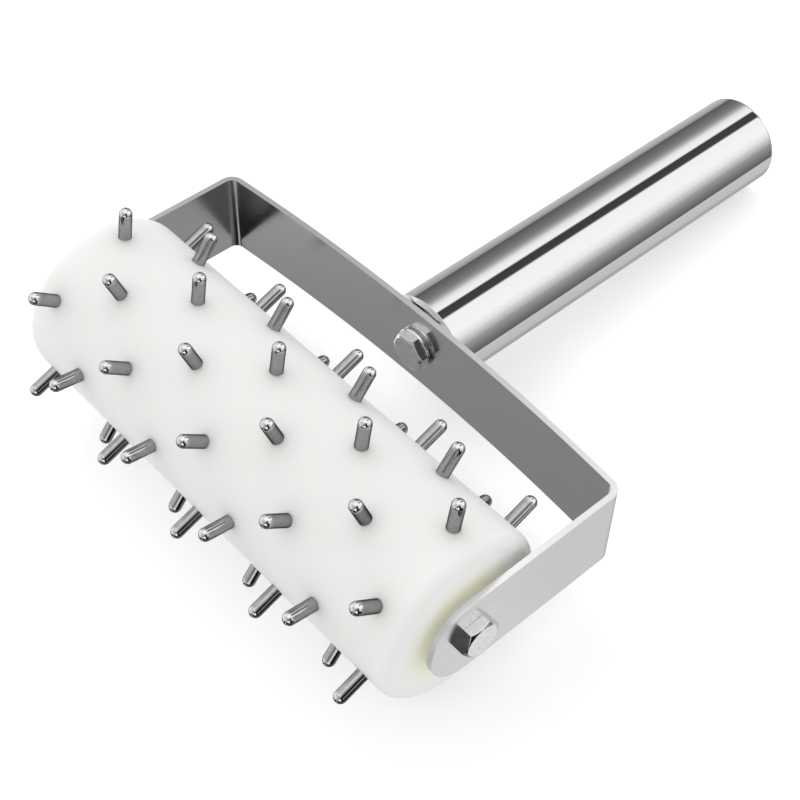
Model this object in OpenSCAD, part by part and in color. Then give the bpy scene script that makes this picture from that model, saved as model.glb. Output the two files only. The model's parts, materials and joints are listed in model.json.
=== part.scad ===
// Dough docker: a pinned plastic roller that turns in a bent steel yoke with a tubular handle.
// The tool lies as it is put down on a table at z = 0, on two rows of pins and the handle's end.
// +X runs along the roller, +Y points to the end of the handle and +Z is up.

/* [Roller] */
// Diameter of the plastic roller
roller_d = 48.8; // [44:0.2:60]
// Length of the plastic roller
roller_l = 142; // [138:1:180]
// Radius of the rounded edge at each end of the roller
roller_edge_r = 3; // [1:0.5:8]

/* [Pins] */
// Distance from the roller's end to the nearest pin's centre
pin_margin = 8.6; // [7:0.1:16]
// Diameter of a pin
pin_d = 3.5; // [2.5:0.1:5]
// How far a pin stands out of the roller
pin_proud = 9; // [5:0.5:12]
// How deep a pin is pressed into the roller
pin_embed = 10; // [6:0.5:12]

/* [Axle] */
// Diameter of the shaft that the roller turns on
axle_d = 12; // [10:0.5:18]
// Radial clearance between the shaft and the roller's bore
axle_clear = 0.08; // [0.02:0.01:0.1]
// Thickness of the washer at each end of the roller
spacer_t = 2.1; // [1:0.1:3]
// Outer diameter of the washer at each end of the roller
spacer_d = 20; // [18:0.5:24]
// Free play between a washer and the roller's end
end_play = 0.3; // [0.1:0.05:0.5]

/* [Yoke] */
// Width of the flat strip
strip_w = 25; // [20:0.5:32]
// Thickness of the flat strip
strip_t = 1.6; // [1.2:0.1:3]
// Inner radius of the two bends
bend_r = 2.4; // [1.5:0.1:6]
// Distance from the roller's axis to the outer face of the web at its middle
yoke_reach = 52.3; // [48:0.1:80]
// How far the web bows outwards between its ends
web_bow = 3.9; // [1:0.1:8]
// Distance from the roller's axis to the centre of the rounded end of an arm
arm_tail = 0.8; // [0:0.1:4]

/* [Bolts] */
// Diameter of the bolt threads
bolt_d = 6; // [5:0.5:8]
// Width across the flats of the bolt heads
bolt_af = 10; // [9:0.5:13]
// Height of the heads at the arms
axle_head_h = 3; // [2:0.1:6]
// Turn of the heads at the arms, in degrees
axle_head_turn = 23; // [0:1:59]
// Height of the head behind the web
hub_head_h = 2.4; // [2:0.1:6]
// Turn of the head behind the web, in degrees
hub_head_turn = 49; // [0:1:59]
// How deep a bolt screws into the shaft or into the handle's plug
bolt_grip = 14; // [8:1:18]
// Thickness of the spring washer
spring_t = 1.3; // [0.8:0.1:2]
// Outer diameter of the spring washer
spring_d = 11.8; // [11:0.1:16]

/* [Handle] */
// Outer diameter of the handle tube
handle_d = 27; // [24:0.5:34]
// Length of the handle tube
handle_l = 130; // [100:1:180]
// Wall thickness of the handle tube
handle_wall = 1.5; // [1:0.1:2.5]
// Chamfer at the tube's end beside the web
handle_chamfer = 1; // [0.4:0.1:1.2]
// Radius of the rounded edge at the handle's far end
handle_edge_r = 1.2; // [0.5:0.1:1.4]
// Gap between the web and the tube, bridged by the plug's collar
collar_gap = 0.8; // [0.4:0.1:3]
// Length of the plug inside the tube
plug_l = 20; // [19:1:40]
// Thickness of the cap that closes the far end
cap_t = 5; // [3:0.5:12]

/* [Hidden] */
// Overrun that carries a cut past the surface that it opens
overrun = 0.5;
// Clearance of the bolts in the holes of the strip, on the radius
bolt_clear = 0.25;
// Clearance of the washers round the bolts and the shaft, on the radius
washer_clear = 0.15;
// Share of a head's width across the flats that its round front face takes
head_face_share = 0.95;
// Angle between the front face of a head and the bevel that takes its corners off
head_bevel_angle = 30;
// Bevel at the point of a bolt
bolt_point = 0.8;
// Width of the slit in the spring washer
slit_w = 1.2;
// Bevel round each end of the shaft
axle_bevel = 0.5;
// Bevel at the mouth of the roller's bore
bore_bevel = 0.6;
// Extra depth of a threaded hole past the end of its bolt
thread_spare = 2;
// Depth of the dish in the face of the end cap
cap_dish = 0.6;
// Wall left between the collar of the plug and the outside of the tube
collar_step = 3;

// The angles at which the rows stand round the roller, one node for each row
pin_rows = 12;
row_step = 360 / pin_rows;
long_row = 5;
short_row = 4;
pin_pitch = (roller_l - 2 * pin_margin) / (long_row - 1);

roller_r = roller_d / 2;
pin_r = pin_d / 2;
// Distance from the roller's axis to the centre of a pin's domed tip
dome_at = roller_r + pin_proud - pin_r;
strip_half = strip_w / 2;
arm_gap = roller_l + 2 * (spacer_t + end_play);
yoke_w = arm_gap + 2 * strip_t;
handle_r = handle_d / 2;
tube_bore_r = handle_r - handle_wall;
collar_r = handle_r - collar_step;
tube_from = yoke_reach + collar_gap;
tube_to = tube_from + handle_l;

// Steps that round a bend and the web
bend_steps = 12;
web_steps = 40;
// The web is an arc through the yoke's corners, tangent to the arc of each bend
web_r = (pow(yoke_w / 2, 2) + pow(web_bow, 2)) / (2 * web_bow);
web_at = yoke_reach - web_r;
bend_out_r = bend_r + strip_t;
bend_x = yoke_w / 2 - bend_out_r;
bend_y = web_at + sqrt(pow(web_r - bend_out_r, 2) - pow(bend_x, 2));
bend_angle = atan2(bend_y - web_at, bend_x);
web_step = (180 - 2 * bend_angle) / (web_steps + 2);
// The spring washer bears on the hollow side of the web with its rim
washer_seat = web_at + sqrt(pow(web_r - strip_t, 2) - pow(spring_d / 2, 2));
hub_head_at = washer_seat - spring_t;

// The roller stands on the two lowest rows, half a step to either side of straight down
axle_h = dome_at * cos(row_step / 2) + pin_r;
// The handle tips down until the rounded edge of its end meets the table
edge_y = tube_to - handle_edge_r;
edge_z = handle_r - handle_edge_r;
tilt = asin((axle_h - handle_edge_r) / norm([edge_y, edge_z])) - atan2(edge_z, edge_y);
// The frame's origin is under the middle of the tool
front_y = -max(dome_at * cos(row_step / 2) + pin_r, (strip_half + arm_tail) * cos(tilt));
back_y = edge_y * cos(tilt) + edge_z * sin(tilt) + handle_edge_r;
axle_y = -(front_y + back_y) / 2;

// Plastic and steel tones
poly_white = [0.93, 0.93, 0.91];
washer_white = [0.85, 0.85, 0.82];
pin_steel = [0.72, 0.73, 0.74];
strip_steel = [0.66, 0.66, 0.68];
tube_steel = [0.80, 0.80, 0.82];
bolt_steel = [0.58, 0.59, 0.61];

$fn = 96;

// Puts a piece drawn about the roller's axis at the place of the axle over the table
module at_axle() {
    translate([0, axle_y, axle_h])
        children();
}

// Tips a piece that is drawn along the yoke: y from the axle to the handle's end, z across the strip
module on_yoke() {
    at_axle()
        rotate([-tilt, 0, 0])
            children();
}

// Turns a shape drawn along +Z so that it runs along +X
module along_x() {
    rotate([0, 90, 0])
        children();
}

// Turns a shape drawn along +Z so that it runs along +Y
module along_y() {
    rotate([-90, 0, 0])
        children();
}

// Number of pins in a row, long and short rows in turn
function row_count(row) = row % 2 == 0 ? long_row : short_row;

// Angle of a row from straight up, towards the front of the tool
function row_angle(row) = row_step * (row - 0.5);

// Carries its children to each pin of a row, with +Z pointing out of the roller
module each_pin(row) {
    count = row_count(row);
    for (i = [0:count - 1]) {
        at_x = (i - (count - 1) / 2) * pin_pitch;
        rotate([row_angle(row), 0, 0])
            translate([at_x, 0, 0])
                children();
    }
}

// Outline of half the roller's section, with x along the radius and rounded corners
module roller_section() {
    half_l = roller_l / 2;
    inner_r = axle_d / 2 + axle_clear;
    difference() {
        union() {
            translate([0, -half_l + roller_edge_r])
                square([roller_r, roller_l - 2 * roller_edge_r]);
            translate([0, -half_l])
                square([roller_r - roller_edge_r, roller_l]);
            for (side = [-1, 1]) {
                translate([roller_r - roller_edge_r, side * (half_l - roller_edge_r)])
                    circle(r = roller_edge_r);
            }
        }
        translate([-overrun, -half_l - overrun])
            square([inner_r + overrun, roller_l + 2 * overrun]);
    }
}

module roller_body() {
    color(poly_white)
        at_axle()
            difference() {
                along_x()
                    rotate_extrude()
                        roller_section();
                for (side = [0, 1]) {
                    mirror([side, 0, 0])
                        translate([roller_l / 2 - bore_bevel, 0, 0])
                            along_x()
                                cylinder(
                                    h = bore_bevel + overrun,
                                    r1 = axle_d / 2 + axle_clear,
                                    r2 = axle_d / 2 + axle_clear + bore_bevel + overrun
                                );
                }
                for (row = [0:pin_rows - 1]) {
                    each_pin(row)
                        translate([0, 0, roller_r - pin_embed])
                            cylinder(h = pin_embed + overrun, r = pin_r);
                }
            }
}

// One pin: a straight rod with a half-round tip
module pin() {
    foot = roller_r - pin_embed;
    rotate_extrude() {
        translate([0, foot])
            square([pin_r, dome_at - foot]);
        intersection() {
            translate([0, dome_at])
                circle(r = pin_r);
            translate([0, dome_at - pin_r])
                square([pin_r, 2 * pin_r]);
        }
    }
}

module pin_row(row) {
    color(pin_steel)
        at_axle()
            each_pin(row)
                pin();
}

module axle_shaft() {
    half_l = arm_gap / 2;
    color(bolt_steel)
        at_axle()
            along_x()
                difference() {
                    union() {
                        translate([0, 0, -half_l + axle_bevel])
                            cylinder(h = arm_gap - 2 * axle_bevel, d = axle_d);
                        for (side = [0, 1]) {
                            mirror([0, 0, side])
                                translate([0, 0, half_l - axle_bevel])
                                    cylinder(
                                        h = axle_bevel,
                                        r1 = axle_d / 2,
                                        r2 = axle_d / 2 - axle_bevel
                                    );
                        }
                    }
                    for (side = [0, 1]) {
                        mirror([0, 0, side])
                            translate([0, 0, half_l - bolt_grip - thread_spare])
                                cylinder(h = bolt_grip + thread_spare + overrun, d = bolt_d);
                    }
                }
}

// The washer between the roller and an arm, against the arm's inner face
module spacer_washer() {
    color(washer_white)
        at_axle()
            translate([arm_gap / 2 - spacer_t, 0, 0])
                along_x()
                    difference() {
                        cylinder(h = spacer_t, d = spacer_d);
                        translate([0, 0, -overrun])
                            cylinder(h = spacer_t + 2 * overrun, r = axle_d / 2 + washer_clear);
                    }
}

module right_spacer_washer() {
    spacer_washer();
}

module left_spacer_washer() {
    mirror([1, 0, 0])
        spacer_washer();
}

// A hexagon bolt, with the seat of its head at z = 0, its shank along +Z and its head turned about it
module hex_bolt(head_h, head_turn, shank_l) {
    corner_r = bolt_af / 2 / cos(180 / 6);
    face_r = bolt_af / 2 * head_face_share;
    intersection() {
        translate([0, 0, -head_h])
            rotate([0, 0, head_turn])
                cylinder(h = head_h, r = corner_r, $fn = 6);
        translate([0, 0, -head_h])
            cylinder(h = head_h, r1 = face_r, r2 = face_r + head_h / tan(head_bevel_angle));
    }
    translate([0, 0, -head_h / 2])
        cylinder(h = head_h / 2 + shank_l - bolt_point, d = bolt_d);
    translate([0, 0, shank_l - bolt_point])
        cylinder(h = bolt_point, r1 = bolt_d / 2, r2 = bolt_d / 2 - bolt_point);
}

module axle_bolt() {
    color(bolt_steel)
        on_yoke()
            translate([yoke_w / 2, 0, 0])
                rotate([0, -90, 0])
                    hex_bolt(axle_head_h, axle_head_turn, strip_t + bolt_grip);
}

module right_axle_bolt() {
    axle_bolt();
}

module left_axle_bolt() {
    mirror([1, 0, 0])
        axle_bolt();
}

// Points along an arc about centre, from one angle to another
function arc(centre, r, from, to, steps) = [
    for (i = [0:steps])
        let (a = from + (to - from) * i / steps)
            centre + r * [cos(a), sin(a)]
];

// One face of the strip from the right bend over the web to the left bend, inset by a depth
function strip_line(depth) = concat(
    arc([bend_x, bend_y], bend_out_r - depth, 0, bend_angle, bend_steps),
    arc([0, web_at], web_r - depth, bend_angle + web_step, 180 - bend_angle - web_step, web_steps),
    arc([-bend_x, bend_y], bend_out_r - depth, 180 - bend_angle, 180, bend_steps)
);

// Outline of the bent strip seen along its width, without the rounded ends of the arms
module strip_outline() {
    outer = strip_line(0);
    inner = strip_line(strip_t);
    polygon(concat(
        [[yoke_w / 2, -arm_tail]],
        outer,
        [[-yoke_w / 2, -arm_tail], [-yoke_w / 2 + strip_t, -arm_tail]],
        [for (i = [len(inner) - 1:-1:0]) inner[i]],
        [[yoke_w / 2 - strip_t, -arm_tail]]
    ));
}

module yoke() {
    hole_r = bolt_d / 2 + bolt_clear;
    color(strip_steel)
        on_yoke()
            difference() {
                union() {
                    translate([0, 0, -strip_half])
                        linear_extrude(height = strip_w)
                            strip_outline();
                    for (left = [-yoke_w / 2, yoke_w / 2 - strip_t]) {
                        translate([left, -arm_tail, 0])
                            along_x()
                                cylinder(h = strip_t, r = strip_half);
                    }
                }
                for (left = [-yoke_w / 2, yoke_w / 2 - strip_t]) {
                    translate([left - overrun, 0, 0])
                        along_x()
                            cylinder(h = strip_t + 2 * overrun, r = hole_r);
                }
                translate([0, yoke_reach - strip_t - overrun, 0])
                    along_y()
                        cylinder(h = strip_t + 2 * overrun, r = hole_r);
            }
}

module hub_bolt() {
    color(bolt_steel)
        on_yoke()
            translate([0, hub_head_at, 0])
                along_y()
                    hex_bolt(hub_head_h, hub_head_turn, yoke_reach - hub_head_at + bolt_grip);
}

module spring_washer() {
    inner_r = bolt_d / 2 + washer_clear;
    color(pin_steel)
        on_yoke()
            translate([0, hub_head_at, 0])
                along_y()
                    difference() {
                        cylinder(h = spring_t, d = spring_d);
                        translate([0, 0, -overrun])
                            cylinder(h = spring_t + 2 * overrun, r = inner_r);
                        translate([0, -slit_w / 2, -overrun])
                            cube([spring_d, slit_w, spring_t + 2 * overrun]);
                    }
}

// The threaded plug in the front of the tube, with a collar that seats on the web
module handle_plug() {
    color(bolt_steel)
        on_yoke()
            translate([0, yoke_reach, 0])
                along_y()
                    difference() {
                        union() {
                            cylinder(h = collar_gap, r = collar_r);
                            translate([0, 0, collar_gap])
                                cylinder(h = plug_l, r = tube_bore_r);
                        }
                        translate([0, 0, -overrun])
                            cylinder(h = bolt_grip + thread_spare + overrun, d = bolt_d);
                    }
}

module handle_tube() {
    color(tube_steel)
        on_yoke()
            translate([0, tube_from, 0])
                along_y()
                    difference() {
                        union() {
                            cylinder(
                                h = handle_chamfer,
                                r1 = handle_r - handle_chamfer,
                                r2 = handle_r
                            );
                            translate([0, 0, handle_chamfer])
                                cylinder(h = handle_l - handle_chamfer - handle_edge_r, r = handle_r);
                            translate([0, 0, handle_l - handle_edge_r])
                                rotate_extrude() {
                                    square([handle_r - handle_edge_r, handle_edge_r]);
                                    intersection() {
                                        translate([handle_r - handle_edge_r, 0])
                                            circle(r = handle_edge_r);
                                        square([handle_r, handle_edge_r]);
                                    }
                                }
                        }
                        translate([0, 0, -overrun])
                            cylinder(h = handle_l + 2 * overrun, r = tube_bore_r);
                    }
}

// The disc that closes the handle's far end, flush with the tube and dished in its middle
module handle_end_cap() {
    dish_r = tube_bore_r - handle_wall;
    color(tube_steel)
        on_yoke()
            translate([0, tube_to - cap_t, 0])
                along_y()
                    difference() {
                        cylinder(h = cap_t, r = tube_bore_r);
                        translate([0, 0, cap_t - cap_dish])
                            cylinder(h = cap_dish, r1 = dish_r - cap_dish, r2 = dish_r);
                    }
}

roller_body();
pin_row(0);  // pin_row_01
pin_row(1);  // pin_row_02
pin_row(2);  // pin_row_03
pin_row(3);  // pin_row_04
pin_row(4);  // pin_row_05
pin_row(5);  // pin_row_06
pin_row(6);  // pin_row_07
pin_row(7);  // pin_row_08
pin_row(8);  // pin_row_09
pin_row(9);  // pin_row_10
pin_row(10);  // pin_row_11
pin_row(11);  // pin_row_12
axle_shaft();
left_spacer_washer();
right_spacer_washer();
left_axle_bolt();
right_axle_bolt();
yoke();
hub_bolt();
spring_washer();
handle_plug();
handle_tube();
handle_end_cap();
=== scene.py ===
import json
import math

import bmesh
import bpy
from mathutils import Matrix, Vector


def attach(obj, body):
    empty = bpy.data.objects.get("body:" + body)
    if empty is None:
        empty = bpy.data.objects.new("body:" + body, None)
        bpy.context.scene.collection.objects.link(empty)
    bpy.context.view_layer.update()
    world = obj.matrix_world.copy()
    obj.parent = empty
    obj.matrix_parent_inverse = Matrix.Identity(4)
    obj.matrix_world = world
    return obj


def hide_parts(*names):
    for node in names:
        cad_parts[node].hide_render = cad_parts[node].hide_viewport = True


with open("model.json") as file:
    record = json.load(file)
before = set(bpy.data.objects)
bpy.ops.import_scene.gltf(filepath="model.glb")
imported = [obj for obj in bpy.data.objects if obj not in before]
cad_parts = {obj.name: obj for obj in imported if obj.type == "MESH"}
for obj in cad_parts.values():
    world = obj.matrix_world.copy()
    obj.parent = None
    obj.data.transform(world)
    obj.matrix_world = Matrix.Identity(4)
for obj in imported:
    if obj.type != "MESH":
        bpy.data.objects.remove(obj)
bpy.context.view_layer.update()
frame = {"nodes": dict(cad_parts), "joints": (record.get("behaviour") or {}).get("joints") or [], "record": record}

# Sizes in millimetres, as in the part's source
MM = 0.001
ROLLER_R = 24.4
ROLLER_L = 142
ROLLER_EDGE_R = 3
BORE_BEVEL = 0.6
PIN_R = 1.75
PIN_MARGIN = 8.6
PIN_PROUD = 9
PIN_EMBED = 10
PIN_ROWS = 12
LONG_ROW = 5
SHORT_ROW = 4
AXLE_R = 6
AXLE_CLEAR = 0.08
SPACER_T = 2.1
SPACER_R = 10
END_PLAY = 0.3
WASHER_CLEAR = 0.15
STRIP_W = 25
STRIP_T = 1.6
BEND_R = 2.4
YOKE_REACH = 52.3
WEB_BOW = 3.9
ARM_TAIL = 0.8
BOLT_R = 3
BOLT_AF = 10
AXLE_HEAD_H = 3
AXLE_HEAD_TURN = math.radians(23)
HUB_HEAD_H = 2.4
HUB_HEAD_TURN = math.radians(49)
BOLT_GRIP = 14
SPRING_T = 1.3
SPRING_R = 5.9
SLIT_W = 1.2
HANDLE_R = 13.5
HANDLE_L = 130
HANDLE_WALL = 1.5
HANDLE_CHAMFER = 1
HANDLE_EDGE_R = 1.2
COLLAR_GAP = 0.8
CAP_T = 5
CAP_DISH = 0.6
CAP_RIM = 1.5

# Small shapes that only the dressed pieces have
STRIP_EDGE = 0.22
HEAD_CHAMFER_FROM = 0.93
HEAD_CHAMFER_ANGLE = math.radians(30)
HEAD_EDGE = 0.1
CHAMFER_EDGE = 0.25
WASHER_EDGE = 0.3
WASHER_UNDERCUT = 0.7
UNDERCUT_FROM = 0.6
SLIT_TURN = math.radians(130)
PIN_FOOT_BEVEL = 0.3
BOLT_POINT = 0.8
SPACER_EDGE = 0.2
CAP_EDGE = 0.2
DISH_RIM_EDGE = 0.4
DISH_FLOOR_EDGE = 0.5

# Steps round a full turn, and along the curves of the edges, pins and strip
CORNER_STEPS = 6
BEVEL_STEPS = 3
ROLLER_STEPS = 160
ROLLER_EDGE_STEPS = 14
PIN_STEPS = 40
DOME_STEPS = 12
SPACER_STEPS = 72
HEAD_STEPS = 72
WASHER_STEPS = 96
TUBE_STEPS = 256
CAP_STEPS = 160
ARM_END_STEPS = 24
BEND_STEPS = 16
WEB_STEPS = 60

# Milky plastic: how it bends light, and how much of it enters, how deep and by colour
PLASTIC_IOR = 1.5
MILKY_SHARE = 0.9
MILKY_DEPTH = 8
MILKY_COLOURS = (1.0, 0.95, 0.8)

# Radii that the painted tint and the painted glow at the roller's right end fade over, and the glow's level
# The tint paints the arm's reflection and the shade beside the arm, and the glow paints light into that shade
PAINTED_TINT_FROM = 12
PAINTED_TINT_TO = 18
PAINTED_GLOW_FROM = 14
PAINTED_END_GLOW = 0.2

# Patterns, as turns of noise to a millimetre along each axis, and the noise's own roughness
PLASTIC_PATCH = 0.03
PLASTIC_GRAIN = (1.6, 2.4, 2.4)
NOISE_ROUGHNESS = 0.55

# Where the painted highlight of a pin's tip, a brighter steel, starts and is full, from the foot of its dome
TIP_HIGHLIGHT_FROM = -0.5
TIP_HIGHLIGHT_FULL = 0.7

# Places worked out from the sizes
ROW_STEP = 2 * math.pi / PIN_ROWS
PIN_PITCH = (ROLLER_L - 2 * PIN_MARGIN) / (LONG_ROW - 1)
DOME_AT = ROLLER_R + PIN_PROUD - PIN_R
ARM_GAP = ROLLER_L + 2 * (SPACER_T + END_PLAY)
YOKE_W = ARM_GAP + 2 * STRIP_T
TUBE_FROM = YOKE_REACH + COLLAR_GAP
TUBE_BORE_R = HANDLE_R - HANDLE_WALL
WEB_R = ((YOKE_W / 2) ** 2 + WEB_BOW ** 2) / (2 * WEB_BOW)
WEB_AT = YOKE_REACH - WEB_R
BEND_OUT_R = BEND_R + STRIP_T
BEND_X = YOKE_W / 2 - BEND_OUT_R
BEND_Y = WEB_AT + math.sqrt((WEB_R - BEND_OUT_R) ** 2 - BEND_X ** 2)
BEND_ANGLE = math.atan2(BEND_Y - WEB_AT, BEND_X)
WASHER_SEAT = WEB_AT + math.sqrt((WEB_R - STRIP_T) ** 2 - SPRING_R ** 2)
HUB_HEAD_AT = WASHER_SEAT - SPRING_T

# The axle's place comes from the joint, and the tilt from the handle's mount
axle = Vector(frame["joints"][0]["pos_m"])
grip = next(m for m in frame["record"]["mounts"] if m["name"] == "handle_grip")
grip_axis = Vector(grip["axis"])
TILT = math.atan(grip_axis.z / grip_axis.y)
AT_AXLE = Matrix.Translation(axle) @ Matrix.Scale(MM, 4)
ON_YOKE = AT_AXLE @ Matrix.Rotation(TILT, 4, "X")
ALONG_X = Matrix.Rotation(math.pi / 2, 4, "Y")
ALONG_Y = Matrix.Rotation(-math.pi / 2, 4, "X")

# Points closer than this are one, and faces at less than this angle are shaded as one
TOUCH = 1e-6
SMOOTH_ANGLE = math.radians(28)


def rounded(corners, closed=False, steps=CORNER_STEPS):
    """A line through corners given as (across, along, radius), each rounded to its radius."""
    line = []
    count = len(corners)
    for i, (x, y, radius) in enumerate(corners):
        here = Vector((x, y))
        at_end = not closed and i in (0, count - 1)
        if radius == 0 or at_end:
            line.append(here)
            continue
        back = (Vector(corners[i - 1][:2]) - here).normalized()
        ahead = (Vector(corners[(i + 1) % count][:2]) - here).normalized()
        half = back.angle(ahead) / 2
        centre = here + (back + ahead).normalized() * radius / math.sin(half)
        start = here + back * radius / math.tan(half) - centre
        side = 1 if back.cross(ahead) < 0 else -1
        for k in range(steps + 1):
            turn = side * (math.pi - 2 * half) * k / steps
            line.append(centre + Matrix.Rotation(turn, 2) @ start)
    return line


def face_corners(low, high, i, j):
    """The corners of the face between steps i and j of two rings. A ring may be a single point."""
    corners = [low[i % len(low)], low[j % len(low)], high[j % len(high)], high[i % len(high)]]
    return list(dict.fromkeys(corners))


def lathe(section, steps, closed=False, slit=0.0):
    """Turns a half section of (radius, height) points about +Z, with an open slit if given."""
    bm = bmesh.new()
    columns = steps + 1 if slit else steps
    rings = []
    for radius, height in section:
        if radius < TOUCH:
            rings.append([bm.verts.new((0, 0, height))])
            continue
        ring = []
        for i in range(columns):
            turn = slit / 2 + (2 * math.pi - slit) * i / steps
            ring.append(bm.verts.new((radius * math.cos(turn), radius * math.sin(turn), height)))
        rings.append(ring)
    pairs = list(zip(rings, rings[1:]))
    if closed:
        pairs.append((rings[-1], rings[0]))
    for low, high in pairs:
        for i in range(steps):
            j = (i + 1) % columns
            corners = face_corners(low, high, i, j)
            if len(corners) > 2:
                bm.faces.new(corners)
    if slit:
        bm.faces.new([ring[0] for ring in rings])
        bm.faces.new([ring[-1] for ring in rings])
    return bm


def piece(name, parts, body, material, nodes, edge=0.0):
    """Makes one object of meshes at their places, riding on a body in place of CAD nodes."""
    whole = bmesh.new()
    for bm, place in parts:
        copy = bpy.data.meshes.new(name + "_part")
        bm.to_mesh(copy)
        copy.transform(place)
        whole.from_mesh(copy)
        bpy.data.meshes.remove(copy)
    bmesh.ops.recalc_face_normals(whole, faces=whole.faces)
    mesh = bpy.data.meshes.new(name)
    whole.to_mesh(mesh)
    whole.free()
    mesh.shade_smooth()
    mesh.set_sharp_from_angle(angle=SMOOTH_ANGLE)
    mesh.materials.append(material)
    made = bpy.data.objects.new(name, mesh)
    bpy.context.scene.collection.objects.link(made)
    if edge:
        bevel = made.modifiers.new("edge", "BEVEL")
        bevel.width = edge * MM
        bevel.segments = BEVEL_STEPS
        bevel.limit_method = "ANGLE"
        bevel.angle_limit = SMOOTH_ANGLE
        bevel.harden_normals = True
    else:
        made.modifiers.new("even", "WEIGHTED_NORMAL").keep_sharp = True
    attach(made, body)
    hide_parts(*nodes)


# Materials

def add_node(tree, kind, **settings):
    """A node of a kind, with its sockets set by name or number and the rest by attribute."""
    made = tree.nodes.new(kind)
    for key, value in settings.items():
        if key == "sockets":
            for socket, level in value.items():
                made.inputs[socket].default_value = level
        else:
            setattr(made, key, value)
    return made


def combine(tree, operation, first, second):
    """Joins two sockets by a math operation."""
    made = add_node(tree, "ShaderNodeMath", operation=operation)
    tree.links.new(first, made.inputs[0])
    tree.links.new(second, made.inputs[1])
    return made.outputs[0]


def by_axis(tree, source):
    """The coordinates of a socket, by axis."""
    parts = add_node(tree, "ShaderNodeSeparateXYZ")
    tree.links.new(source, parts.inputs["Vector"])
    return parts.outputs


def share_along(tree, source, direction):
    """How much of a socket's direction lies along a fixed one."""
    product = add_node(tree, "ShaderNodeVectorMath", operation="DOT_PRODUCT")
    tree.links.new(source, product.inputs[0])
    product.inputs[1].default_value = direction
    return product.outputs["Value"]


def grain(tree, scale, detail=3.0, turn=0.0):
    """Noise in millimetres, stretched by a scale for each axis after a turn about X."""
    place = add_node(tree, "ShaderNodeTexCoord")
    turned = add_node(tree, "ShaderNodeMapping", vector_type="TEXTURE")
    turned.inputs["Rotation"].default_value = (turn, 0, 0)
    stretched = add_node(tree, "ShaderNodeMapping")
    stretched.inputs["Scale"].default_value = [s / MM for s in scale]
    pattern = add_node(tree, "ShaderNodeTexNoise", sockets={
        "Scale": 1.0, "Detail": detail, "Roughness": NOISE_ROUGHNESS,
    })
    tree.links.new(place.outputs["Object"], turned.inputs["Vector"])
    tree.links.new(turned.outputs["Vector"], stretched.inputs["Vector"])
    tree.links.new(stretched.outputs["Vector"], pattern.inputs["Vector"])
    return pattern.outputs["Fac"]


def spread(tree, source, low, high, fade=(0.3, 0.7)):
    """Maps the fade's range, which is a noise's middle unless given, to values from low to high."""
    mapped = add_node(tree, "ShaderNodeMapRange")
    mapped.inputs["From Min"].default_value = fade[0]
    mapped.inputs["From Max"].default_value = fade[1]
    mapped.inputs["To Min"].default_value = low
    mapped.inputs["To Max"].default_value = high
    tree.links.new(source, mapped.inputs["Value"])
    return mapped.outputs["Result"]


def blend_colour(tree, factor, first, second):
    """Mixes two colours, each a triple or a socket, by a factor."""
    mix = add_node(tree, "ShaderNodeMix", data_type="RGBA")
    tree.links.new(factor, mix.inputs["Factor"])
    for socket, colour in ((mix.inputs[6], first), (mix.inputs[7], second)):
        if isinstance(colour, bpy.types.NodeSocket):
            tree.links.new(colour, socket)
        else:
            socket.default_value = (*colour, 1)
    return mix.outputs[2]


def add_bump(tree, shader, height, strength, depth):
    """Adds a bump of a depth in millimetres to a shader."""
    bump = add_node(tree, "ShaderNodeBump", sockets={"Strength": strength, "Distance": depth * MM})
    tree.links.new(height, bump.inputs["Height"])
    tree.links.new(bump.outputs["Normal"], shader.inputs["Normal"])


def axle_distance(tree, reach):
    """Distance of a surface point from the axle's line, or from its point at a reach along X."""
    place = add_node(tree, "ShaderNodeTexCoord")
    from_axle = add_node(tree, "ShaderNodeVectorMath", operation="SUBTRACT")
    tree.links.new(place.outputs["Object"], from_axle.inputs[0])
    from_axle.inputs[1].default_value = axle + Vector((reach or 0, 0, 0))
    kept = add_node(tree, "ShaderNodeVectorMath", operation="MULTIPLY")
    tree.links.new(from_axle.outputs["Vector"], kept.inputs[0])
    kept.inputs[1].default_value = (0 if reach is None else 1, 1, 1)
    length = add_node(tree, "ShaderNodeVectorMath", operation="LENGTH")
    tree.links.new(kept.outputs["Vector"], length.inputs[0])
    return length.outputs["Value"]


def new_material(name):
    """A material with its node tree."""
    material = bpy.data.materials.new(name)
    material.use_nodes = True
    return material, material.node_tree


def steel(name, colour, shade, roughness, scale, bump, turn=0.0, patch=0.04, rim=1.0, tip=None):
    """Steel that varies with a fine grain and broad soft patches, and may have brighter tips as a painted
    highlight and a dark rim tint as painted shade on its outlines.
    """
    material, tree = new_material(name)
    shader = tree.nodes["Principled BSDF"]
    shader.inputs["Metallic"].default_value = 1.0
    # A rim tint below one darkens the metal's reflections towards its outlines, as painted shade
    shader.inputs["Specular Tint"].default_value = (rim, rim, rim, 1)
    fine = grain(tree, scale, turn=turn)
    broad = grain(tree, (patch,) * 3, detail=2.0)
    streaked = blend_colour(tree, spread(tree, fine, 0.0, 1.0), colour, [c * shade for c in colour])
    patches_and_tip_highlight = blend_colour(tree, spread(tree, broad, 0.0, 0.5), streaked, colour)
    # Brighter steel towards each pin's tip is a painted highlight
    if tip:
        tip_highlight_span = ((DOME_AT + TIP_HIGHLIGHT_FROM) * MM, (DOME_AT + TIP_HIGHLIGHT_FULL) * MM)
        tip_highlight_mask = spread(tree, axle_distance(tree, None), 0.0, 1.0, fade=tip_highlight_span)
        patches_and_tip_highlight = blend_colour(tree, tip_highlight_mask, patches_and_tip_highlight, tip)
    tree.links.new(patches_and_tip_highlight, shader.inputs["Base Color"])
    tree.links.new(spread(tree, fine, *roughness), shader.inputs["Roughness"])
    add_bump(tree, shader, fine, *bump)
    return material


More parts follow.
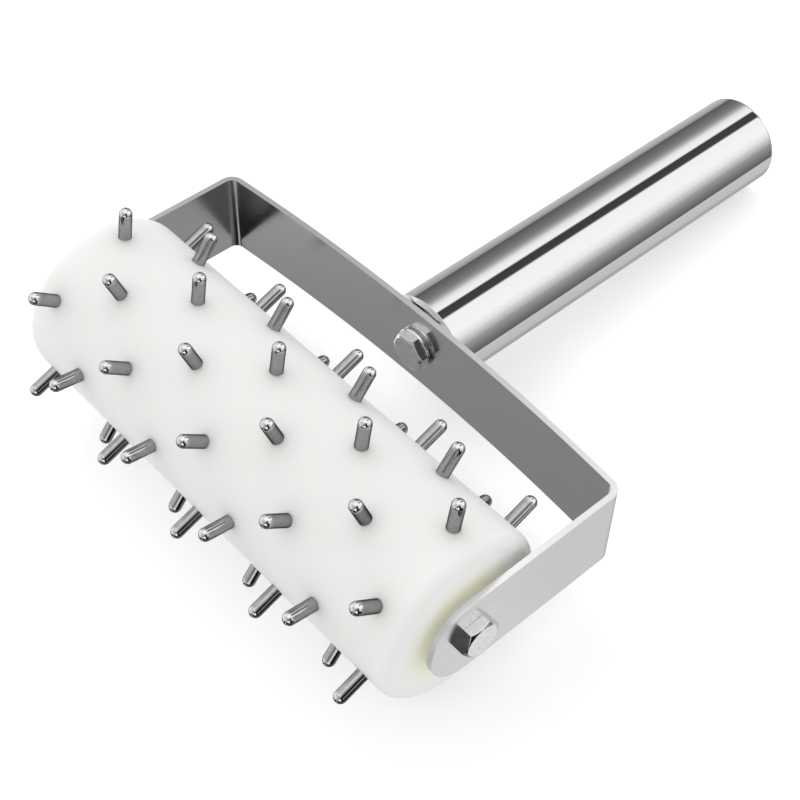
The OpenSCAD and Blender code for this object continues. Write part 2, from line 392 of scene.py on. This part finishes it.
def plastic(name, colour, deep, roughness, bump, painted_end_tint=None):
    """Milky plastic, mottled softly. It may have a painted tint and a faint painted glow round the axle's end, for
    the arm's reflection and the shade beside it.
    """
    material, tree = new_material(name)
    shader = tree.nodes["Principled BSDF"]
    shader.inputs["IOR"].default_value = PLASTIC_IOR
    shader.inputs["Subsurface Weight"].default_value = MILKY_SHARE
    shader.inputs["Subsurface Radius"].default_value = MILKY_COLOURS
    shader.inputs["Subsurface Scale"].default_value = MILKY_DEPTH * MM
    broad = grain(tree, (PLASTIC_PATCH,) * 3, detail=2.0)
    fine = grain(tree, PLASTIC_GRAIN, detail=4.0)
    body = blend_colour(tree, spread(tree, broad, 0.0, 1.0), colour, deep)
    # Painted light at the right end: an olive tint for the arm's reflection and shade, and a glow that lightens
    # that shade
    if painted_end_tint:
        place = add_node(tree, "ShaderNodeTexCoord")
        end_at = ROLLER_L / 2 * MM
        near_end = spread(
            tree, by_axis(tree, place.outputs["Object"])["X"], 0.0, 1.0,
            fade=((ROLLER_L / 2 - ROLLER_EDGE_R) * MM, end_at),
        )
        to_axle = axle_distance(tree, end_at)
        near_axle = spread(tree, to_axle, 1.0, 0.0, fade=(PAINTED_TINT_FROM * MM, PAINTED_TINT_TO * MM))
        body = blend_colour(tree, combine(tree, "MULTIPLY", near_end, near_axle), body, painted_end_tint)
        shader.inputs["Emission Color"].default_value = (*colour, 1)
        lit = spread(tree, to_axle, PAINTED_END_GLOW, 0.0, fade=(PAINTED_GLOW_FROM * MM, ROLLER_R * MM))
        tree.links.new(lit, shader.inputs["Emission Strength"])
    tree.links.new(body, shader.inputs["Base Color"])
    tree.links.new(spread(tree, fine, *roughness), shader.inputs["Roughness"])
    add_bump(tree, shader, fine, *bump)
    return material


# The roller's end tint is a painted reflection of the arm and painted shade beside it
roller_plastic = plastic(
    "roller_plastic", colour=(0.86, 0.87, 0.855), deep=(0.84, 0.855, 0.835), roughness=(0.42, 0.5),
    bump=(0.12, 0.02), painted_end_tint=(0.83, 0.81, 0.58),
)
washer_nylon = plastic(
    "washer_nylon", colour=(0.80, 0.80, 0.75), deep=(0.76, 0.76, 0.7), roughness=(0.4, 0.5),
    bump=(0.1, 0.02),
)
# The pins' dark rim tint is painted shade on their outlines, and their brighter tip steel is a painted highlight
pin_steel = steel(
    "pin_steel", colour=(0.34, 0.34, 0.345), shade=0.80, roughness=(0.04, 0.09),
    scale=(0.8, 0.8, 0.8), bump=(0.12, 0.02), patch=0.2, rim=0.1, tip=(0.55, 0.55, 0.555),
)
tube_steel = steel(
    "tube_steel", colour=(0.52, 0.52, 0.53), shade=0.97, roughness=(0.03, 0.06),
    scale=(3.0, 0.02, 3.0), bump=(0.03, 0.003), turn=TILT,
)
strip_steel = steel(
    "strip_steel", colour=(0.60, 0.60, 0.605), shade=0.97, roughness=(0.16, 0.21),
    scale=(0.06, 0.06, 2.5), bump=(0.04, 0.006), turn=TILT,
)
bolt_steel = steel(
    "bolt_steel", colour=(0.70, 0.70, 0.71), shade=0.76, roughness=(0.08, 0.16),
    scale=(1.1, 1.1, 1.1), bump=(0.25, 0.03), patch=0.3,
)
washer_steel = steel(
    "washer_steel", colour=(0.78, 0.78, 0.79), shade=0.85, roughness=(0.1, 0.18),
    scale=(1.4, 1.4, 1.4), bump=(0.2, 0.02), patch=0.3,
)
axle_steel = steel(
    "axle_steel", colour=(0.66, 0.66, 0.67), shade=0.9, roughness=(0.2, 0.3),
    scale=(0.4, 3.0, 3.0), bump=(0.1, 0.01), patch=0.2,
)


# Roller and pins

def make_roller():
    """The roller, with rounded rims and a bevelled bore."""
    half = ROLLER_L / 2
    bore = AXLE_R + AXLE_CLEAR
    section = rounded([
        (bore, -half + BORE_BEVEL, 0),
        (bore + BORE_BEVEL, -half, 0),
        (ROLLER_R, -half, ROLLER_EDGE_R),
        (ROLLER_R, half, ROLLER_EDGE_R),
        (bore + BORE_BEVEL, half, 0),
        (bore, half - BORE_BEVEL, 0),
    ], closed=True, steps=ROLLER_EDGE_STEPS)
    body = lathe(section, ROLLER_STEPS, closed=True)
    piece(
        "roller", [(body, AT_AXLE @ ALONG_X)], "roller", roller_plastic,
        ["roller_body"],
    )


def make_pins():
    """Rows of five and four pins in turn, each with a domed tip."""
    foot = ROLLER_R - PIN_EMBED
    section = rounded([
        (0, foot, 0),
        (PIN_R, foot, PIN_FOOT_BEVEL),
        (PIN_R, DOME_AT, 0),
    ])
    for i in range(1, DOME_STEPS + 1):
        turn = math.pi / 2 * i / DOME_STEPS
        section.append(Vector((PIN_R * math.cos(turn), DOME_AT + PIN_R * math.sin(turn))))
    for row in range(PIN_ROWS):
        count = LONG_ROW if row % 2 == 0 else SHORT_ROW
        turned = AT_AXLE @ Matrix.Rotation(ROW_STEP * (row - 0.5), 4, "X")
        pins = []
        for i in range(count):
            across = (i - (count - 1) / 2) * PIN_PITCH
            pins.append((lathe(section, PIN_STEPS), turned @ Matrix.Translation((across, 0, 0))))
        label = f"pin_row_{row + 1:02d}"
        piece("dressed_" + label, pins, "roller", pin_steel, [label])


# Axle

def make_spacers():
    """A washer between the roller and each arm."""
    section = rounded([
        (AXLE_R + WASHER_CLEAR, 0, SPACER_EDGE),
        (SPACER_R, 0, SPACER_EDGE),
        (SPACER_R, SPACER_T, SPACER_EDGE),
        (AXLE_R + WASHER_CLEAR, SPACER_T, SPACER_EDGE),
    ], closed=True)
    for label, side in (("left", -1), ("right", 1)):
        from_x = side * ARM_GAP / 2 - (SPACER_T if side > 0 else 0)
        place = AT_AXLE @ Matrix.Translation((from_x, 0, 0)) @ ALONG_X
        piece(
            label + "_spacer", [(lathe(section, SPACER_STEPS, closed=True), place)], "frame",
            washer_nylon, [label + "_spacer_washer"],
        )


def hex_bolt(head_h, head_turn, shank_l):
    """A hexagon bolt with its head's seat at z = 0, the head below it and the shank along +Z."""
    bm = bmesh.new()
    flat = BOLT_AF / 2
    chamfer_from = flat * HEAD_CHAMFER_FROM
    turns = [2 * math.pi * i / HEAD_STEPS for i in range(HEAD_STEPS)]

    def ring(radius_at, height_at):
        made = []
        for turn in turns:
            radius = radius_at(turn)
            made.append(bm.verts.new((
                radius * math.cos(turn + head_turn), radius * math.sin(turn + head_turn),
                height_at(radius),
            )))
        return made

    def hexagon(turn):
        return flat / math.cos(turn % (math.pi / 3) - math.pi / 6)

    def face_height(radius):
        return -head_h + max(0, radius - chamfer_from) * math.tan(HEAD_CHAMFER_ANGLE)

    rings = [
        [bm.verts.new((0, 0, -head_h))],
        ring(lambda turn: chamfer_from, lambda radius: -head_h),
        ring(hexagon, face_height),
        ring(hexagon, lambda radius: 0),
        ring(lambda turn: BOLT_R, lambda radius: 0),
        ring(lambda turn: BOLT_R, lambda radius: shank_l - BOLT_POINT),
        ring(lambda turn: BOLT_R - BOLT_POINT, lambda radius: shank_l),
        [bm.verts.new((0, 0, shank_l))],
    ]
    for low, high in zip(rings, rings[1:]):
        for i in range(HEAD_STEPS):
            bm.faces.new(face_corners(low, high, i, (i + 1) % HEAD_STEPS))
    return bm


def make_axle_bolts():
    """The bolts that hold the arms to the shaft, as mirror images of each other."""
    inward = Matrix.Rotation(-math.pi / 2, 4, "Y")
    for label, side in (("left", -1), ("right", 1)):
        mirrored = Matrix.Diagonal((side, 1, 1, 1))
        place = ON_YOKE @ mirrored @ Matrix.Translation((YOKE_W / 2, 0, 0)) @ inward
        bolt = hex_bolt(AXLE_HEAD_H, AXLE_HEAD_TURN, STRIP_T + BOLT_GRIP)
        piece(
            label + "_bolt", [(bolt, place)], "frame", bolt_steel,
            [label + "_axle_bolt"], edge=HEAD_EDGE,
        )


# Yoke

def strip_stations():
    """Stations along the strip's outer face as (point, inward direction, half width)."""
    stations = []
    tail = []
    half_w = STRIP_W / 2
    for i in range(ARM_END_STEPS):
        turn = math.pi / 2 * (1 - i / ARM_END_STEPS)
        tail.append((-ARM_TAIL - half_w * math.sin(turn), half_w * math.cos(turn)))
    for along, half in tail:
        stations.append((Vector((YOKE_W / 2, along)), Vector((-1, 0)), half))
    stations.append((Vector((YOKE_W / 2, -ARM_TAIL)), Vector((-1, 0)), half_w))

    def arc(centre, radius, start, end, steps):
        for i in range(steps + 1):
            turn = start + (end - start) * i / steps
            out = Vector((math.cos(turn), math.sin(turn)))
            stations.append((Vector(centre) + out * radius, -out, half_w))

    web_step = (math.pi - 2 * BEND_ANGLE) / (WEB_STEPS + 2)
    arc((BEND_X, BEND_Y), BEND_OUT_R, 0, BEND_ANGLE, BEND_STEPS)
    arc((0, WEB_AT), WEB_R, BEND_ANGLE + web_step, math.pi - BEND_ANGLE - web_step, WEB_STEPS)
    arc((-BEND_X, BEND_Y), BEND_OUT_R, math.pi - BEND_ANGLE, math.pi, BEND_STEPS)
    stations.append((Vector((-YOKE_W / 2, -ARM_TAIL)), Vector((1, 0)), half_w))
    for along, half in reversed(tail):
        stations.append((Vector((-YOKE_W / 2, along)), Vector((1, 0)), half))
    return stations


def make_yoke():
    """One bent strip with rounded ends."""
    bm = bmesh.new()
    columns = []
    for point, inward, half in strip_stations():
        corners = []
        for depth, side in ((0, 1), (STRIP_T, 1), (STRIP_T, -1), (0, -1)):
            at = point + inward * depth
            corners.append(bm.verts.new((at.x, at.y, side * half)))
        columns.append(corners)
    for near, far in zip(columns, columns[1:]):
        for i in range(4):
            j = (i + 1) % 4
            bm.faces.new([near[i], near[j], far[j], far[i]])
    bmesh.ops.remove_doubles(bm, verts=bm.verts, dist=TOUCH)
    piece("strip", [(bm, ON_YOKE)], "frame", strip_steel, ["yoke"], edge=STRIP_EDGE)


# Bolt and washer in the web

def make_hub():
    """The bolt through the web, and its split washer with a bevelled back edge."""
    place = ON_YOKE @ Matrix.Translation((0, HUB_HEAD_AT, 0)) @ ALONG_Y
    bolt = hex_bolt(HUB_HEAD_H, HUB_HEAD_TURN, YOKE_REACH - HUB_HEAD_AT + BOLT_GRIP)
    piece(
        "web_bolt", [(bolt, place)], "frame", bolt_steel, ["hub_bolt"],
        edge=HEAD_EDGE,
    )
    bore = BOLT_R + WASHER_CLEAR
    section = rounded([
        (bore, 0, WASHER_EDGE),
        (SPRING_R, 0, WASHER_EDGE),
        (SPRING_R, SPRING_T * UNDERCUT_FROM, WASHER_EDGE),
        (SPRING_R - WASHER_UNDERCUT, SPRING_T, 0),
        (bore, SPRING_T, WASHER_EDGE),
    ], closed=True)
    washer = lathe(section, WASHER_STEPS, closed=True, slit=SLIT_W / SPRING_R)
    turned = place @ Matrix.Rotation(SLIT_TURN, 4, "Z")
    piece(
        "split_washer", [(washer, turned)], "frame", washer_steel,
        ["spring_washer"],
    )


# Handle

def make_handle():
    """The handle's tube, and the cap in its far end with a shallow dish."""
    place = ON_YOKE @ Matrix.Translation((0, TUBE_FROM, 0)) @ ALONG_Y
    section = rounded([
        (TUBE_BORE_R, 0, 0),
        (HANDLE_R - HANDLE_CHAMFER, 0, CHAMFER_EDGE),
        (HANDLE_R, HANDLE_CHAMFER, CHAMFER_EDGE),
        (HANDLE_R, HANDLE_L, HANDLE_EDGE_R),
        (TUBE_BORE_R, HANDLE_L, 0),
    ], closed=True)
    tube = lathe(section, TUBE_STEPS, closed=True)
    piece("tube", [(tube, place)], "frame", tube_steel, ["handle_tube"])
    dish_r = TUBE_BORE_R - CAP_RIM
    cap_from = HANDLE_L - CAP_T
    cap = rounded([
        (0, cap_from, 0),
        (TUBE_BORE_R, cap_from, 0),
        (TUBE_BORE_R, HANDLE_L, CAP_EDGE),
        (dish_r, HANDLE_L, DISH_RIM_EDGE),
        (dish_r - CAP_DISH, HANDLE_L - CAP_DISH, DISH_FLOOR_EDGE),
        (0, HANDLE_L - CAP_DISH, 0),
    ])
    piece(
        "end_cap", [(lathe(cap, CAP_STEPS), place)], "frame", tube_steel,
        ["handle_end_cap"],
    )


make_roller()
make_pins()
make_spacers()
make_axle_bolts()
make_yoke()
make_hub()
make_handle()
# The shaft and the plug keep their CAD shapes
for name, material in (("axle_shaft", axle_steel), ("handle_plug", bolt_steel)):
    kept = frame["nodes"][name]
    kept.data.materials.clear()
    kept.data.materials.append(material)


# Studio

FLOOR_HALF = 3.0
FLOOR_SHADE = 0.8
# Light that the floor gives off, and a painted lift that a camera sees on top of it before and behind the tool
FLOOR_GLOW = 0.2
# The lift is smaller in front, where the tool's shadow stays deep, and larger behind, where it paints that shadow
# lighter
SEEN_FRONT = 0.14
SEEN_BACK = 0.28
SEEN_FADE = (-0.045, 0.02)
# The key lamp, in metres and watts
KEY_AT = Vector((-0.5, 0.35, 1.0))
KEY_AIM = Vector((0, 0, 0.02))
KEY_SIZE = 0.9
KEY_POWER = 1.7
# The camera, with its lens in millimetres
CAMERA_AT = (0.20853, -0.19481, 0.35689)
CAMERA_AHEAD = Vector((-0.47828, 0.37266, -0.79522))
CAMERA_UP = Vector((-0.56895, 0.5583, 0.60382))
LENS = 71.85
SENSOR = 36
CLIP_START = 0.01
# Light that a mirror sees, as levels by the angle about the handle's axis from overhead to the left
# Each belt lies further from the handle's end than the one before it
BACK_BELT = [
    (-180, 0.50), (-168, 0.76), (-160, 0.88), (-154, 0.93), (-137, 0.98), (-130.5, 1.10),
    (-128, 0.20), (-113, 0.34), (-103, 0.46), (-93, 0.60), (-87, 0.88), (-78, 1.15), (-70, 1.50),
    (-54, 1.77), (-16.5, 1.70), (-13.5, 0.10), (5, 0.08), (7.5, 1.70), (16, 1.66), (25, 1.42),
    (31, 0.90), (37, 0.62), (43.5, 0.42), (50, 0.35), (57, 0.29), (70, 0.23), (80, 0.17),
    (83.5, 0.50), (92, 0.66), (102, 0.74), (148, 0.74), (180, 0.50),
]
SIDE_BELT = [
    (-180, 0.60), (-166, 0.98), (-151, 1.04), (-144, 0.40), (-128, 0.36), (-116, 0.50),
    (-104, 1.20), (-90, 1.00), (-66, 1.10), (-45, 1.70), (10, 1.75), (25, 1.75), (33, 1.20),
    (39, 0.75), (50, 0.70), (64, 1.30), (90, 1.70), (135, 1.70), (150, 0.60), (165, 0.40),
    (180, 0.60),
]
LEVEL_BELT = [
    (-180, 0.36), (-165, 0.36), (-150, 0.33), (-136, 0.28), (-126, 0.10), (-114, 0.01), (-97, 0.01),
    (-90, 0.45), (-78, 1.20), (-62, 1.60), (-45, 0.75), (-32, 1.60), (0, 1.70), (30, 1.40),
    (45, 1.20), (62, 0.85), (70, 0.90), (80, 1.55), (92, 2.00), (120, 1.90), (138, 1.60),
    (150, 0.60), (165, 0.40), (180, 0.36),
]
FRONT_BELT = [
    (-180, 0.42), (-166, 0.36), (-157, 0.10), (-151, 0.01), (-138, 0.01), (-134, 0.22),
    (-128, 0.24), (-121, 0.02), (-112, 0.01), (-50, 0.01), (-42, 0.20), (-28, 0.75), (-14, 1.40),
    (-5, 1.80), (10, 1.80), (20, 1.45), (64, 1.30), (80, 1.60), (115, 1.70), (128, 0.90),
    (137, 0.60), (144, 0.39), (150, 0.34), (165, 0.34), (180, 0.42),
]
LOW_BELT = [
    (-180, 0.80), (-174, 0.55), (-167, 0.01), (-127, 0.01), (-118, 0.60), (-110, 1.20), (-95, 1.80),
    (-78, 1.50), (-66, 0.60), (-54, 0.20), (-32, 0.45), (-14, 0.85), (20, 0.85), (40, 0.95),
    (60, 1.10), (90, 1.30), (130, 1.10), (143, 0.60), (148, 0.01), (161, 0.01), (167, 0.50),
    (180, 0.80),
]
# The belts, each with where it takes over, as the direction's share along the handle's axis
BELTS = [
    (None, BACK_BELT),
    ((0.47, 0.435), SIDE_BELT),
    ((0.36, 0.24), LEVEL_BELT),
    ((0.0, -0.14), FRONT_BELT),
    ((-0.52, -0.57), LOW_BELT),
]
# The brightest level that a belt may hold
BELT_PEAK = 2.0
# Light that matt surfaces get from all round, and less of it from the far right
DIFFUSE_LEVEL = 1.02
RIGHT_LEVEL = 0.62
RIGHT_FADE = (0.1, 0.9)


def belt(tree, share, stops):
    """A colour ramp of light levels round the handle's axis."""
    ramp = add_node(tree, "ShaderNodeValToRGB")
    elements = ramp.color_ramp.elements
    elements.remove(elements[-1])
    for i, (angle, level) in enumerate(stops):
        at = (angle + 180) / 360
        stop = elements[0] if i == 0 else elements.new(at)
        stop.position = at
        stop.color = (level / BELT_PEAK,) * 3 + (1,)
    tree.links.new(share, ramp.inputs["Fac"])
    return ramp.outputs["Color"]


def straight(tree, rays):
    """One for rays from the camera, direct or through something clear."""
    return combine(tree, "MAXIMUM", rays["Is Camera Ray"], rays["Is Transmission Ray"])


def make_world():
    """A white backdrop, with mirror images of the belts and even light for matt surfaces."""
    world = bpy.data.worlds.new("studio")
    world.use_nodes = True
    bpy.context.scene.world = world
    tree = world.node_tree
    tree.nodes.clear()
    direction = add_node(tree, "ShaderNodeTexCoord").outputs["Generated"]
    leftward = share_along(tree, direction, (-1, 0, 0))
    upright = share_along(tree, direction, (0, -math.sin(TILT), math.cos(TILT)))
    along = share_along(tree, direction, (0, math.cos(TILT), math.sin(TILT)))
    turn = combine(tree, "ARCTAN2", leftward, upright)
    share = spread(tree, turn, 0.0, 1.0, fade=(-math.pi, math.pi))
    levels = None
    for handover, stops in BELTS:
        here = belt(tree, share, stops)
        if levels:
            reached = spread(tree, along, 0.0, 1.0, fade=handover)
            here = blend_colour(tree, reached, levels, here)
        levels = here
    mirror = add_node(
        tree, "ShaderNodeVectorMath", operation="SCALE", sockets={"Scale": BELT_PEAK},
    )
    tree.links.new(levels, mirror.inputs["Vector"])
    rightward = by_axis(tree, direction)["X"]
    ambient = spread(tree, rightward, DIFFUSE_LEVEL, RIGHT_LEVEL, fade=RIGHT_FADE)
    rays = add_node(tree, "ShaderNodeLightPath").outputs
    lit = blend_colour(tree, rays["Is Glossy Ray"], ambient, mirror.outputs["Vector"])
    seen = blend_colour(tree, straight(tree, rays), lit, (1.0, 1.0, 1.0))
    background = add_node(tree, "ShaderNodeBackground", sockets={"Strength": 1.0})
    tree.links.new(seen, background.inputs["Color"])
    out = add_node(tree, "ShaderNodeOutputWorld")
    tree.links.new(background.outputs["Background"], out.inputs["Surface"])


def make_floor():
    """A white floor that catches soft shadows, lightened by painted light more behind the tool than before it, and
    shows up in no mirror.
    """
    mesh = bpy.data.meshes.new("floor")
    bm = bmesh.new()
    bmesh.ops.create_grid(bm, x_segments=2, y_segments=2, size=FLOOR_HALF)
    bm.to_mesh(mesh)
    bm.free()
    floor = bpy.data.objects.new("floor", mesh)
    bpy.context.scene.collection.objects.link(floor)
    material, tree = new_material("floor_white")
    tree.nodes.clear()
    rays = add_node(tree, "ShaderNodeLightPath").outputs
    seen = combine(tree, "MAXIMUM", straight(tree, rays), rays["Is Glossy Ray"])
    place = add_node(tree, "ShaderNodeTexCoord")
    backward = by_axis(tree, place.outputs["Object"])["Y"]
    # Painted light on the floor: less lift in front of the tool, more behind it, where the shadow is lightened
    painted_lift = spread(tree, backward, SEEN_FRONT, SEEN_BACK, fade=SEEN_FADE)
    lift = add_node(tree, "ShaderNodeMath", operation="MULTIPLY_ADD", sockets={2: FLOOR_GLOW})
    tree.links.new(seen, lift.inputs[0])
    tree.links.new(painted_lift, lift.inputs[1])
    glow = add_node(tree, "ShaderNodeEmission")
    tree.links.new(lift.outputs[0], glow.inputs["Strength"])
    matt = add_node(tree, "ShaderNodeBsdfDiffuse", sockets={"Color": (FLOOR_SHADE,) * 3 + (1,)})
    both = add_node(tree, "ShaderNodeAddShader")
    tree.links.new(glow.outputs[0], both.inputs[0])
    tree.links.new(matt.outputs[0], both.inputs[1])
    out = add_node(tree, "ShaderNodeOutputMaterial")
    tree.links.new(both.outputs[0], out.inputs["Surface"])
    mesh.materials.append(material)
    floor.visible_glossy = False


def make_key():
    """A large soft lamp above and behind the tool's left side."""
    light = bpy.data.lights.new("key", "AREA")
    light.shape = "DISK"
    light.size = KEY_SIZE
    light.energy = KEY_POWER
    lamp = bpy.data.objects.new("key", light)
    lamp.location = KEY_AT
    lamp.rotation_mode = "QUATERNION"
    lamp.rotation_quaternion = (KEY_AIM - KEY_AT).to_track_quat("-Z", "Y")
    lamp.visible_glossy = False
    bpy.context.scene.collection.objects.link(lamp)


def make_camera():
    """The camera that the view is taken with, looking down along the tool from its right end."""
    ahead = CAMERA_AHEAD.normalized()
    right = ahead.cross(CAMERA_UP).normalized()
    up = right.cross(ahead)
    data = bpy.data.cameras.new("camera")
    data.sensor_width = SENSOR
    data.lens = LENS
    camera = bpy.data.objects.new("camera", data)
    camera.matrix_world = Matrix((
        (right.x, up.x, -ahead.x, CAMERA_AT[0]),
        (right.y, up.y, -ahead.y, CAMERA_AT[1]),
        (right.z, up.z, -ahead.z, CAMERA_AT[2]),
        (0, 0, 0, 1),
    ))
    data.clip_start = CLIP_START
    bpy.context.scene.collection.objects.link(camera)
    bpy.context.scene.camera = camera


make_world()
make_floor()
make_key()
make_camera()
bpy.context.scene.view_settings.view_transform = "Standard"
